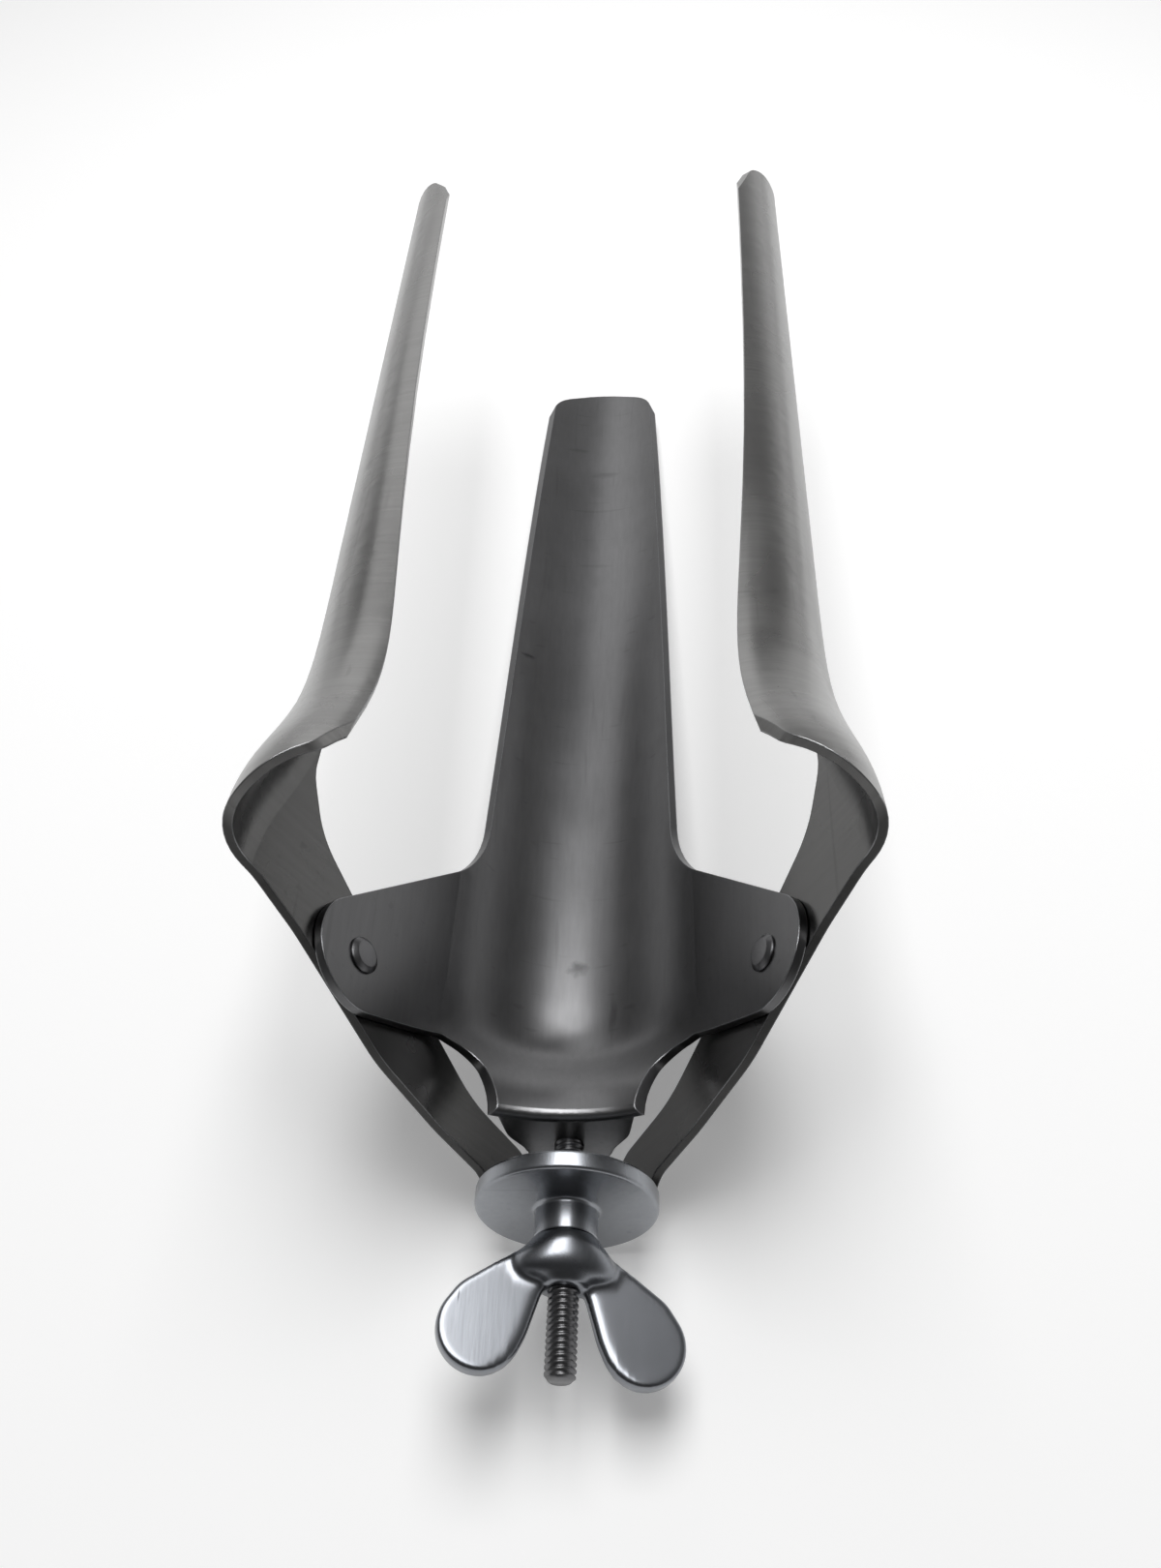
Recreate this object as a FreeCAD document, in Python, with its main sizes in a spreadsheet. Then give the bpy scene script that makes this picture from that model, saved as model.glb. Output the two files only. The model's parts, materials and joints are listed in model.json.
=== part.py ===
import FreeCAD, Part
import math
import os
import Sketcher
from FreeCAD import Vector, Placement, Rotation

os.makedirs("parts", exist_ok=True)
doc = FreeCAD.newDocument("three_blade_speculum")

# The screw lies along Y with its free end at the origin, the blades point to +Y and +Z is up
sheet = doc.addObject("Spreadsheet::Sheet", "sizes")
SIZES = [
    ("sheet_thick", 2.0), ("leaf_gap", 0.3), ("ear_tilt", 60.0), ("blade_slope", 3.5),
    ("rivet_across", 41.2), ("rivet_along", 71.0), ("rivet_height", 40.0),
    ("centre_length", 315.0), ("centre_tip_half", 20.0),
    ("trough_floor", 0.9), ("trough_rise", 9.6), ("rise_length", 26.0),
    ("centre_tip_round", 22.0), ("tip_radius_section", 44.0),
    ("ear_radius", 12.8), ("ear_front_width", 54.0), ("ear_rear_in", 3.0),
    ("tab_back", 49.5), ("tab_half_top", 14.8), ("tab_round", 9.5), ("tab_hole_radius", 3.2), ("bend_radius", 1.8),
    ("arm_end_radius", 8.2), ("arm_end_in", 59.5), ("arm_end_back", 21.1),
    ("side_length", 309.0), ("side_base", 27.2), ("side_spread", 0.045), ("side_flare", 13.6),
    ("flare_length", 33.0), ("side_radius", 16.0), ("side_turn", 111.0), ("flare_turn", 66.0), ("turn_length", 75.0),
    ("side_tip_round", 26.0),
    ("side_rear_cut", 0.0),
    ("screw_radius", 3.175), ("screw_pitch", 1.27), ("screw_chamfer", 0.5),
    ("head_radius", 5.2), ("head_thick", 3.0),
    ("disc_radius", 19.3), ("disc_thick", 3.9), ("disc_front", 38.3), ("hub_radius", 6.6),
    ("hub_back", 27.9), ("sleeve_clearance", 0.06),
    ("nut_back", 17.4), ("nut_front", 27.6), ("boss_radius", 6.8), ("wing_reach", 24.8),
    ("wing_half_width", 8.6), ("wing_thick", 3.4), ("wing_roll", 14.0), ("wing_tip_back", -0.2),
    ("rivet_shank", 2.6), ("rivet_head", 4.0), ("rivet_head_face", 2.9), ("rivet_head_high", 1.2),
    ("rivet_low_face", 4.6), ("rivet_low_head", 5.8),
    ("pivot_clearance", 0.05),
]
for row, (name, value) in enumerate(SIZES, 1):
    sheet.set("A%d" % row, name)
    sheet.set("B%d" % row, str(value))
    sheet.setAlias("B%d" % row, name)
doc.recompute()


def size(name):
    return float(sheet.get(name))


thick = size("sheet_thick")
gap = size("leaf_gap")
tilt = math.radians(size("ear_tilt"))
rivet = Vector(-size("rivet_across"), size("rivet_along"), size("rivet_height"))
# In the plane of the left ear: out runs outwards and up, normal points to the space between the blades
slope = math.radians(size("blade_slope"))
upward = Vector(0, math.sin(slope), math.cos(slope))
ahead = Vector(0, math.cos(slope), -math.sin(slope))
sideways = Vector(1, 0, 0)
out = sideways * -math.cos(tilt) + upward * math.sin(tilt)
normal = sideways * math.sin(tilt) + upward * math.cos(tilt)
hinge_line = Vector(0, size("rivet_along"), size("rivet_height"))
ear_offset = -size("rivet_across") * math.sin(tilt) + size("rivet_height") * math.cos(tilt)


def in_blades(x, y, z):
    # The blades' own frame leans down by the slope, turning round the line through both rivets
    return hinge_line + sideways * x + ahead * y + upward * (z - size("rivet_height"))


def in_ear(u, y, n):
    return rivet + out * u + ahead * y + normal * n


def smooth(value):
    value = max(0.0, min(1.0, value))
    return value * value * (3.0 - 2.0 * value)


def band_section(place, lines, arcs):
    # One cross-section of a sheet: straight borders and an arc on the outer face, the same on the inner
    edges = []
    corners = [place(*point) for point in lines]
    middles = {start: place(*point) for start, point in arcs.items()}
    for k, corner in enumerate(corners):
        following = corners[(k + 1) % len(corners)]
        if k in middles:
            edges.append(Part.Arc(corner, middles[k], following).toShape())
        else:
            edges.append(Part.LineSegment(corner, following).toShape())
    return Part.Wire(edges)


def rounded_outline(corners):
    # Each corner is (a, b, radius): straight lines joined by tangent arcs
    count = len(corners)
    edges = []
    ends = []
    for k in range(count):
        a = Vector(corners[k - 1][0], corners[k - 1][1], 0)
        b = Vector(corners[k][0], corners[k][1], 0)
        c = Vector(corners[(k + 1) % count][0], corners[(k + 1) % count][1], 0)
        radius = corners[k][2]
        if radius <= 0:
            ends.append((b, b, None))
            continue
        to_a = (a - b).normalize()
        to_c = (c - b).normalize()
        half = math.acos(max(-1.0, min(1.0, to_a.dot(to_c)))) / 2.0
        reach = radius / math.tan(half)
        start = b + to_a * reach
        finish = b + to_c * reach
        centre = b + (to_a + to_c).normalize() * (radius / math.sin(half))
        middle = centre + (b - centre).normalize() * radius
        ends.append((start, finish, middle))
    for k in range(count):
        start, finish, middle = ends[k]
        if middle is not None:
            edges.append(Part.Arc(start, middle, finish).toShape())
        following = ends[(k + 1) % count][0]
        if (following - finish).Length > 1e-6:
            edges.append(Part.LineSegment(finish, following).toShape())
    return Part.Face(Part.Wire(edges))


def tangent_corner(a, b, radius, side):
    # Where the line from (a, b) that touches a circle round the pivot meets the circle's outer tangent
    heading = math.atan2(b, a) + math.pi + side * math.asin(radius / math.hypot(a, b))
    return b + math.sin(heading) * (radius - a) / math.cos(heading)


def prism(face, origin, a_axis, b_axis, low, high):
    matrix = FreeCAD.Matrix()
    c_axis = a_axis.cross(b_axis)
    matrix.A11, matrix.A21, matrix.A31 = a_axis.x, a_axis.y, a_axis.z
    matrix.A12, matrix.A22, matrix.A32 = b_axis.x, b_axis.y, b_axis.z
    matrix.A13, matrix.A23, matrix.A33 = c_axis.x, c_axis.y, c_axis.z
    base = origin + c_axis * low
    matrix.A14, matrix.A24, matrix.A34 = base.x, base.y, base.z
    placed = face.copy()
    placed.transformShape(matrix)
    return placed.extrude(c_axis * (high - low))


# Centre blade: a trough whose rims run straight on into the two tilted ears
centre_front = size("centre_length")
neck = size("ear_front_width")
ear_length = 46.0
tab_back = size("tab_back")
trough_back = (tab_back + thick - size("rivet_along") + 30.0 * math.sin(slope)) / math.cos(slope)


def floor_height(y):
    rise = size("trough_rise") * smooth((trough_back + size("rise_length") - y) / size("rise_length"))
    return size("trough_floor") + rise


def section_radius(y):
    floor = floor_height(y)
    centre_z = (floor - ear_offset) / (1.0 - math.cos(tilt))
    tangent_radius = centre_z - floor
    forward = smooth((y - neck) / (centre_front - neck))
    return tangent_radius + (size("tip_radius_section") - tangent_radius) * forward


def trough_section(y):
    floor = floor_height(y)
    radius = section_radius(y)
    centre_z = floor + radius

    def rim(r, beyond, side):
        x = r * math.sin(tilt) + beyond * math.cos(tilt)
        z = centre_z - r * math.cos(tilt) + beyond * math.sin(tilt)
        return side * x, z

    outer = radius + thick
    lines = [
        rim(radius, ear_length, -1.0), rim(radius, 0.0, -1.0),
        rim(radius, 0.0, 1.0), rim(radius, ear_length, 1.0),
        rim(outer, ear_length, 1.0), rim(outer, 0.0, 1.0),
        rim(outer, 0.0, -1.0), rim(outer, ear_length, -1.0),
    ]
    arcs = {1: (0.0, floor), 5: (0.0, floor - thick)}
    return band_section(lambda x, z: in_blades(x, y, z), lines, arcs)


def centre_blade_shape():
    stations = [trough_back - 2.0 * thick]
    stations += [trough_back + (centre_front + 2.0 - trough_back) * k / 60.0 for k in range(0, 12)]
    stations += [54.0, 80.0, 115.0, 160.0, 215.0, 270.0, centre_front + 2.0]
    sheet_solid = Part.makeLoft([trough_section(y) for y in stations], True, False)
    back = trough_back - 4.0
    front = centre_front + 5.0
    ear_r = size("ear_radius")
    width_in = size("ear_rear_in")
    neck_u, tip_u = -36.3, -42.8
    rear_u, front_u, front_y = -27.0, neck_u + 2.0, 53.0
    rear_corner = tangent_corner(rear_u, -width_in, ear_r, -1.0)
    front_corner = tangent_corner(front_u, front_y, ear_r, 1.0)
    outline = rounded_outline([
        (-160, back, 0),
        (-37.0, back, 0),
        (-35.9, -4.0, 6.0),
        (rear_u, -width_in, 4.0),
        (ear_r, rear_corner, ear_r),
        (ear_r, front_corner, ear_r),
        (front_u, front_y, 32.0),
        (tip_u, front, 0),
        (-160, front, 0),
    ])
    envelope = None
    for sign in (1.0, -1.0):
        origin = Vector(rivet.x * sign, rivet.y, rivet.z)
        across = Vector(out.x * sign, out.y, out.z)
        side = prism(outline, origin, across, ahead, -200, 200)
        envelope = side if envelope is None else envelope.common(side)
    half = size("centre_tip_half")
    tip = size("centre_tip_round")
    shoulder = centre_front - tip
    body_front = rounded_outline([
        (-80, trough_back - 5, 0),
        (80, trough_back - 5, 0),
        (80, shoulder, 0),
        (half + 0.6, shoulder, 0),
        (half - 4.5, centre_front - 6.1, tip * 0.65),
        (0.0, centre_front + 2.1, tip * 0.75),
        (4.5 - half, centre_front - 6.1, tip * 0.65),
        (-half - 0.6, shoulder, 0),
        (-80, shoulder, 0),
    ])
    envelope = envelope.common(prism(body_front, hinge_line, sideways, ahead, -160, 160))
    ahead_of_tab = Part.makeBox(400.0, 600.0, 400.0, Vector(-200.0, tab_back, -200.0))
    return sheet_solid.common(envelope.common(ahead_of_tab))


def tab_shape():
    # The rear end turns down and takes the head of the screw; its upper border lies inside the trough's sheet
    floor = floor_height(trough_back)
    top = in_blades(0, trough_back, floor).z
    half = size("tab_half_top")
    low = size("tab_round")
    profile = rounded_outline([
        (-half, top + 4.0, 0),
        (-half + 1.8, top - 7.5, 8.0),
        (-low, -1.5, 5.0),
        (-low + 0.3, -low, low - 0.6),
        (low - 0.3, -low, low - 0.6),
        (low, -1.5, 5.0),
        (half - 1.8, top - 7.5, 8.0),
        (half, top + 4.0, 0),
    ])
    plate = prism(profile, Vector(0, tab_back, 0), Vector(1, 0, 0), Vector(0, 0, 1), -thick, 0)
    trough_radius = section_radius(trough_back)
    under = Vector(0, tab_back - thick, top + trough_radius)
    plate = plate.cut(Part.makeCylinder(trough_radius + thick / 2.0, 3 * thick, under, Vector(0, 1, 0)))
    hole = Part.makeCylinder(size("tab_hole_radius"), 3 * thick, Vector(0, tab_back - thick, 0), Vector(0, 1, 0))
    return plate.cut(hole)


def bend_edges(shape):
    # The upper edge of the rear face, where the trough turns down into the tab
    found = []
    for edge in shape.Edges:
        box = edge.BoundBox
        flat = abs(box.YMin - tab_back) < 0.01 and abs(box.YMax - tab_back) < 0.01
        if flat and box.XLength > size("tab_half_top") and box.ZMin > size("tab_round"):
            found.append(edge)
    return sorted(found, key=lambda edge: edge.BoundBox.ZMin)[-1:]


centre = centre_blade_shape().fuse(tab_shape()).removeSplitter()
centre = centre.makeFillet(size("bend_radius"), bend_edges(centre))
rivet_hole = size("rivet_shank")
for sign in (1.0, -1.0):
    origin = Vector(rivet.x * sign, rivet.y, rivet.z)
    axis = Vector(normal.x * sign, normal.y, normal.z)
    centre = centre.cut(Part.makeCylinder(rivet_hole, 8 * thick, origin - axis * 4 * thick, axis))
center_blade = doc.addObject("Part::Feature", "center_blade")
center_blade.Shape = centre


# Side blade: a flat arm under the ear that flares into a half tube
arm_face = -(thick + gap)
arm_low = arm_face - thick


def side_limb(y):
    flare = size("side_flare") * math.exp(-((max(y, 0.0) / size("flare_length")) ** 2))
    return size("side_base") + size("side_spread") * y + flare


def side_radius(y):
    return size("side_radius") + 0.4 * math.exp(-((max(y, 0.0) / size("flare_length")) ** 2))


def side_turn(y):
    extra = size("flare_turn") * math.exp(-max(y, 0.0) / size("turn_length"))
    return math.radians(size("side_turn") + 36.0 * math.tanh(extra / 36.0))


def side_start(y):
    # The limb is where the half tube has turned by a third of a right angle and a little more
    return side_limb(y) - side_radius(y) * math.sin(math.radians(33.0))


def side_section(y):
    start = side_start(y)
    radius = side_radius(y)
    turn = side_turn(y)
    centre_n = arm_low + radius
    far_in = -72.0

    def on_arc(r, angle):
        return start + r * math.sin(angle), centre_n - r * math.cos(angle)

    inner = radius - thick
    lines = [
        (far_in, arm_low), (start, arm_low), on_arc(radius, turn),
        on_arc(inner, turn), (start, arm_low + thick), (far_in, arm_low + thick),
    ]
    arcs = {1: on_arc(radius, turn / 2.0), 3: on_arc(inner, turn / 2.0)}
    return band_section(lambda u, n: in_ear(u, y, n), lines, arcs)


def side_blade_shape():
    back, steps = -36.0, 28
    reach = size("side_length") + 2.0 - back
    stations = [back + reach * k / steps for k in range(steps + 1)]
    solid = Part.makeLoft([side_section(y) for y in stations], True, False)
    end_u = -size("arm_end_in")
    end_y = -size("arm_end_back")
    end_r = size("arm_end_radius")
    front = size("side_length")
    # Seen square on to the arm: the strip, its round rear end and the blade's inner border
    low_y = end_y - end_r
    outline = rounded_outline([
        (end_u - end_r, low_y, end_r * 0.98),
        (end_u + 4.5, low_y, 5.0),
        (-50.5, -23.6, 6.0),
        (-34.0, -21.6, 30.0),
        (-13.0, -17.2, 30.0),
        (16.0, -3.6, 40.0),
        (30.0, 1.2, 20.0),
        (44.0, 2.0, 0),
        (90.0, 2.0, 0),
        (90.0, front + 5.0, 0),
        (side_start(front) + 0.5, front + 5.0, 0),
        (side_start(60.0) + 0.5, 62.0, 30.0),
        (22.4, 36.0, 14.0),
        (16.0, 22.0, 20.0),
        (3.0, 13.6, 30.0),
        (-28.0, -1.0, 40.0),
        (-43.0, -9.6, 30.0),
        (end_u - end_r, end_y + end_r, end_r * 0.98),
    ])
    envelope = prism(outline, rivet, out, ahead, -60, 60)
    # Seen from the side: the rear rim climbs and curves forward into the upper rim
    foot = arm_low + 3.1
    start = size("side_rear_cut")
    rear_cut = rounded_outline([
        (-60.0, arm_low - 8.0, 0),
        (front + 20.0, arm_low - 8.0, 0),
        (front + 20.0, 40.0, 0),
        (75.0, 40.0, 0),
        (45.0, 26.5, 22.0),
        (22.0, 25.0, 12.0),
        (11.5, 21.5, 5.0),
        (7.0, foot + 16.0, 8.0),
        (start + 3.5, foot + 10.0, 20.0),
        (start, foot, 0),
        (-60.0, foot, 0),
    ])
    envelope = envelope.common(prism(rear_cut, rivet, ahead, normal, -100, 100))
    # The tip is rounded where the half tube ends
    chord_angle = side_turn(front) / 2.0
    chord = out * math.cos(chord_angle) + normal * math.sin(chord_angle)
    round_tip = size("side_tip_round")
    chord_start = side_start(front) * math.cos(chord_angle) + arm_low * math.sin(chord_angle)
    chord_end = chord_start + 2.0 * side_radius(front) * math.sin(chord_angle)
    tip_outline = rounded_outline([
        (-200.0, -60.0, 0),
        (200.0, -60.0, 0),
        (200.0, front - round_tip, 0),
        (chord_end, front - round_tip, 0),
        (chord_end - 4.0, front, 7.0),
        (chord_start + 4.0, front, 7.0),
        (chord_start, front - round_tip, 0),
        (-200.0, front - round_tip, 0),
    ])
    envelope = envelope.common(prism(tip_outline, rivet, chord, ahead, -200, 200))
    solid = solid.common(envelope)
    bore = size("rivet_shank") + size("pivot_clearance")
    return solid.cut(Part.makeCylinder(bore, 8 * thick, rivet - normal * 6 * thick, normal))


left_blade = doc.addObject("Part::Feature", "left_blade")
left_blade.Shape = side_blade_shape()
right_blade = doc.addObject("Part::Mirroring", "right_blade")
right_blade.Source = left_blade
right_blade.Base = Vector(0, 0, 0)
right_blade.Normal = Vector(1, 0, 0)


def constraint(sketch, kind, *values, bound=None):
    index = sketch.addConstraint(Sketcher.Constraint(kind, *values))
    if bound:
        sketch.setExpression("Constraints[%d]" % index, bound)
    return index


def plane_of(body, role):
    return next(f for f in body.Origin.OriginFeatures if f.Role == role)


def turned_body(name, points, fillets=None):
    """A body turned round the Y axis from an outline of (radius, y) pairs, each an expression."""
    body = doc.addObject("PartDesign::Body", name)
    sketch = body.newObject("Sketcher::SketchObject", name + "_profile")
    sketch.AttachmentSupport = [(plane_of(body, "XY_Plane"), "")]
    sketch.MapMode = "FlatFace"
    values = [(sheet_value(a), sheet_value(b)) for a, b in points]
    count = len(points)
    for k in range(count):
        a = values[k]
        b = values[(k + 1) % count]
        sketch.addGeometry(Part.LineSegment(Vector(a[0], a[1], 0), Vector(b[0], b[1], 0)), False)
    for k in range(count):
        constraint(sketch, "Coincident", k, 2, (k + 1) % count, 1)
    for k in range(count):
        x_value, y_value = values[k]
        if abs(x_value) < 1e-9:
            constraint(sketch, "PointOnObject", k, 1, -2)
        else:
            constraint(sketch, "DistanceX", -1, 1, k, 1, x_value, bound=points[k][0])
        if abs(y_value) < 1e-9:
            constraint(sketch, "PointOnObject", k, 1, -1)
        else:
            constraint(sketch, "DistanceY", -1, 1, k, 1, y_value, bound=points[k][1])
    turn = body.newObject("PartDesign::Revolution", name + "_turn")
    turn.Profile = sketch
    turn.ReferenceAxis = (plane_of(body, "Y_Axis"), [""])
    turn.Angle = 360
    body.Tip = turn
    doc.recompute()
    return body, sketch


def sheet_value(expression):
    # The expression's present value, read back from a spare cell of the sheet
    sheet.set("D1", "=" + expression.replace("sizes.", ""))
    doc.recompute()
    return float(sheet.get("D1"))


# The screw: a plain core with a row of thread grooves, and a flat round head against the tab
screw, _ = turned_body("adjusting_screw", [
    ("0", "0"),
    ("sizes.screw_radius - sizes.screw_chamfer", "0"),
    ("sizes.screw_radius", "sizes.screw_chamfer"),
    ("sizes.screw_radius", "sizes.tab_back + sizes.sheet_thick"),
    ("sizes.head_radius", "sizes.tab_back + sizes.sheet_thick"),
    ("sizes.head_radius", "sizes.tab_back + sizes.sheet_thick + sizes.head_thick"),
    ("0", "sizes.tab_back + sizes.sheet_thick + sizes.head_thick"),
])
groove_sketch = screw.newObject("Sketcher::SketchObject", "thread_profile")
groove_sketch.AttachmentSupport = [(plane_of(screw, "XY_Plane"), "")]
groove_sketch.MapMode = "FlatFace"
deep = size("screw_pitch") * 0.54
first = 1.3
outer = size("screw_radius") + 0.3
root = size("screw_radius") - deep
half_open = size("screw_pitch") * 0.47
corners = [(outer, first - half_open), (root, first), (outer, first + half_open)]
for k in range(3):
    a, b = corners[k], corners[(k + 1) % 3]
    groove_sketch.addGeometry(Part.LineSegment(Vector(a[0], a[1], 0), Vector(b[0], b[1], 0)), False)
for k in range(3):
    constraint(groove_sketch, "Coincident", k, 2, (k + 1) % 3, 1)
constraint(groove_sketch, "DistanceX", -1, 1, 0, 1, outer, bound="sizes.screw_radius + 0.3")
constraint(groove_sketch, "DistanceX", -1, 1, 2, 1, outer, bound="sizes.screw_radius + 0.3")
constraint(groove_sketch, "DistanceX", -1, 1, 1, 1, root, bound="sizes.screw_radius - 0.54 * sizes.screw_pitch")
constraint(groove_sketch, "DistanceY", -1, 1, 0, 1, first - half_open, bound="1.3 - 0.47 * sizes.screw_pitch")
constraint(groove_sketch, "DistanceY", -1, 1, 1, 1, first)
constraint(groove_sketch, "DistanceY", -1, 1, 2, 1, first + half_open, bound="1.3 + 0.47 * sizes.screw_pitch")
groove = screw.newObject("PartDesign::Groove", "thread_groove")
groove.Profile = groove_sketch
groove.ReferenceAxis = (plane_of(screw, "Y_Axis"), [""])
groove.Angle = 360
doc.recompute()
turns = int((size("tab_back") - 2.6) / size("screw_pitch"))
rows = screw.newObject("PartDesign::LinearPattern", "thread_rows")
rows.Originals = [groove]
rows.Direction = (plane_of(screw, "Y_Axis"), [""])
rows.Occurrences = turns
rows.setExpression("Length", "sizes.screw_pitch * %d" % (turns - 1))
screw.Tip = rows

# The sleeve: a flange disc that pushes the rear ends of both arms, and a hub
sleeve, _ = turned_body("flange_sleeve", [
    ("sizes.screw_radius + sizes.sleeve_clearance", "sizes.hub_back"),
    ("sizes.hub_radius - 0.4", "sizes.hub_back"),
    ("sizes.hub_radius", "sizes.hub_back + 0.4"),
    ("sizes.hub_radius", "sizes.disc_front - sizes.disc_thick - 1"),
    ("sizes.hub_radius + 1", "sizes.disc_front - sizes.disc_thick"),
    ("sizes.disc_radius - 0.7", "sizes.disc_front - sizes.disc_thick"),
    ("sizes.disc_radius", "sizes.disc_front - sizes.disc_thick + 0.7"),
    ("sizes.disc_radius", "sizes.disc_front - 0.7"),
    ("sizes.disc_radius - 0.7", "sizes.disc_front"),
    ("sizes.screw_radius + sizes.sleeve_clearance", "sizes.disc_front"),
])


def rivet_body(name, side):
    # Head on the ear, shank through ear and arm, and a second head under the arm
    body, _ = turned_body(name, [
        ("0", "sizes.rivet_low_head * -1"),
        ("sizes.rivet_head_face", "sizes.rivet_low_head * -1"),
        ("sizes.rivet_head", "sizes.rivet_low_face * -1 - 0.4"),
        ("sizes.rivet_head", "sizes.rivet_low_face * -1"),
        ("sizes.rivet_shank", "sizes.rivet_low_face * -1"),
        ("sizes.rivet_shank", "0"),
        ("sizes.rivet_head", "0"),
        ("sizes.rivet_head", "0.4"),
        ("sizes.rivet_head_face", "sizes.rivet_head_high"),
        ("0", "sizes.rivet_head_high"),
    ])
    place = Vector(rivet.x * side, rivet.y, rivet.z)
    direction = Vector(normal.x * side, normal.y, normal.z)
    body.Placement = Placement(place, Rotation(Vector(0, 1, 0), direction))
    return body


left_rivet = rivet_body("left_pivot_rivet", 1.0)
right_rivet = rivet_body("right_pivot_rivet", -1.0)


# The wing nut: a threaded boss with a thick saddle and two oval wings swept back along the screw
nut, _ = turned_body("wing_nut", [
    ("sizes.screw_radius + sizes.sleeve_clearance", "sizes.nut_back"),
    ("sizes.boss_radius - 0.6", "sizes.nut_back"),
    ("sizes.boss_radius", "sizes.nut_back + 0.6"),
    ("sizes.boss_radius", "sizes.nut_front - 2.5"),
    ("sizes.boss_radius - 1.2", "sizes.nut_front"),
    ("sizes.screw_radius + sizes.sleeve_clearance", "sizes.nut_front"),
])
wing_sketch = nut.newObject("Sketcher::SketchObject", "wing_outline")
wing_sketch.AttachmentSupport = [(plane_of(nut, "XY_Plane"), "")]
wing_sketch.MapMode = "FlatFace"
reach = size("wing_reach")
half_wide = size("wing_half_width")
tip_y = size("wing_tip_back") + half_wide
tip_x = reach - half_wide
root_front = size("nut_front") - 1.2
root_back = size("nut_front") - 7.0
inner_x = size("screw_radius") + 1.6
# The wing's outline runs from the saddle along the outer border, round the tip and back along the inner one
turn_centre = Vector(tip_x, tip_y, 0)
top = Vector(inner_x, root_front, 0)
low = Vector(inner_x, root_back, 0)


def touch(point, centre, radius, side):
    away = point - centre
    spread = math.acos(radius / away.Length)
    heading = math.atan2(away.y, away.x) + side * spread
    return centre + Vector(math.cos(heading), math.sin(heading), 0) * radius


outer_touch = touch(top, turn_centre, half_wide, -1.0)
inner_touch = touch(low, turn_centre, half_wide, 1.0)
far = turn_centre + (turn_centre - (top + low) * 0.5).normalize() * half_wide
wing_sketch.addGeometry(Part.LineSegment(top, outer_touch), False)
wing_sketch.addGeometry(Part.Arc(outer_touch, far, inner_touch), False)
wing_sketch.addGeometry(Part.LineSegment(inner_touch, low), False)
wing_sketch.addGeometry(Part.LineSegment(low, top), False)
arc_start = wing_sketch.getPoint(1, 1)
forward_arc = (arc_start - outer_touch).Length < 1e-6
constraint(wing_sketch, "Tangent", 0, 2, 1, 1 if forward_arc else 2)
constraint(wing_sketch, "Tangent", 1, 2 if forward_arc else 1, 2, 1)
constraint(wing_sketch, "Coincident", 2, 2, 3, 1)
constraint(wing_sketch, "Coincident", 3, 2, 0, 1)
constraint(wing_sketch, "Radius", 1, half_wide, bound="sizes.wing_half_width")
constraint(wing_sketch, "DistanceX", -1, 1, 1, 3, tip_x, bound="sizes.wing_reach - sizes.wing_half_width")
constraint(wing_sketch, "DistanceY", -1, 1, 1, 3, tip_y, bound="sizes.wing_tip_back + sizes.wing_half_width")
constraint(wing_sketch, "DistanceX", -1, 1, 0, 1, inner_x, bound="sizes.screw_radius + 1.6")
constraint(wing_sketch, "DistanceX", -1, 1, 2, 2, inner_x, bound="sizes.screw_radius + 1.6")
constraint(wing_sketch, "DistanceY", -1, 1, 0, 1, root_front, bound="sizes.nut_front - 1.2")
constraint(wing_sketch, "DistanceY", -1, 1, 2, 2, root_back, bound="sizes.nut_front - 7")
wing = nut.newObject("PartDesign::Pad", "wing")
wing.Profile = wing_sketch
wing.Midplane = True
wing.setExpression("Length", "sizes.wing_thick")
doc.recompute()
wings = nut.newObject("PartDesign::PolarPattern", "wings")
wings.Originals = [wing]
wings.Axis = (plane_of(nut, "Y_Axis"), [""])
wings.Angle = 360
wings.Occurrences = 2
doc.recompute()
nut.Tip = wings
nut.Placement = Placement(Vector(0, 0, 0), Rotation(Vector(0, 1, 0), size("wing_roll")))

doc.recompute()
pieces = (center_blade, left_blade, right_blade, left_rivet, right_rivet, screw, sleeve, nut)
for item in doc.Objects:
    if "Invalid" in item.State or "Error" in item.State:
        raise RuntimeError(item.Name + " did not build")
for item in pieces:
    item.Label = item.Name
    shape = item.Shape
    if shape.isNull() or not shape.isValid() or not shape.Solids:
        raise RuntimeError(item.Name + " is not a valid solid")
    print(item.Name, round(shape.Volume), len(shape.Solids), shape.BoundBox)
    shape.exportStep("parts/%s.step" % item.Name)
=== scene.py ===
import bpy
import bmesh
import json
import math
from mathutils import Matrix, Vector


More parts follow.
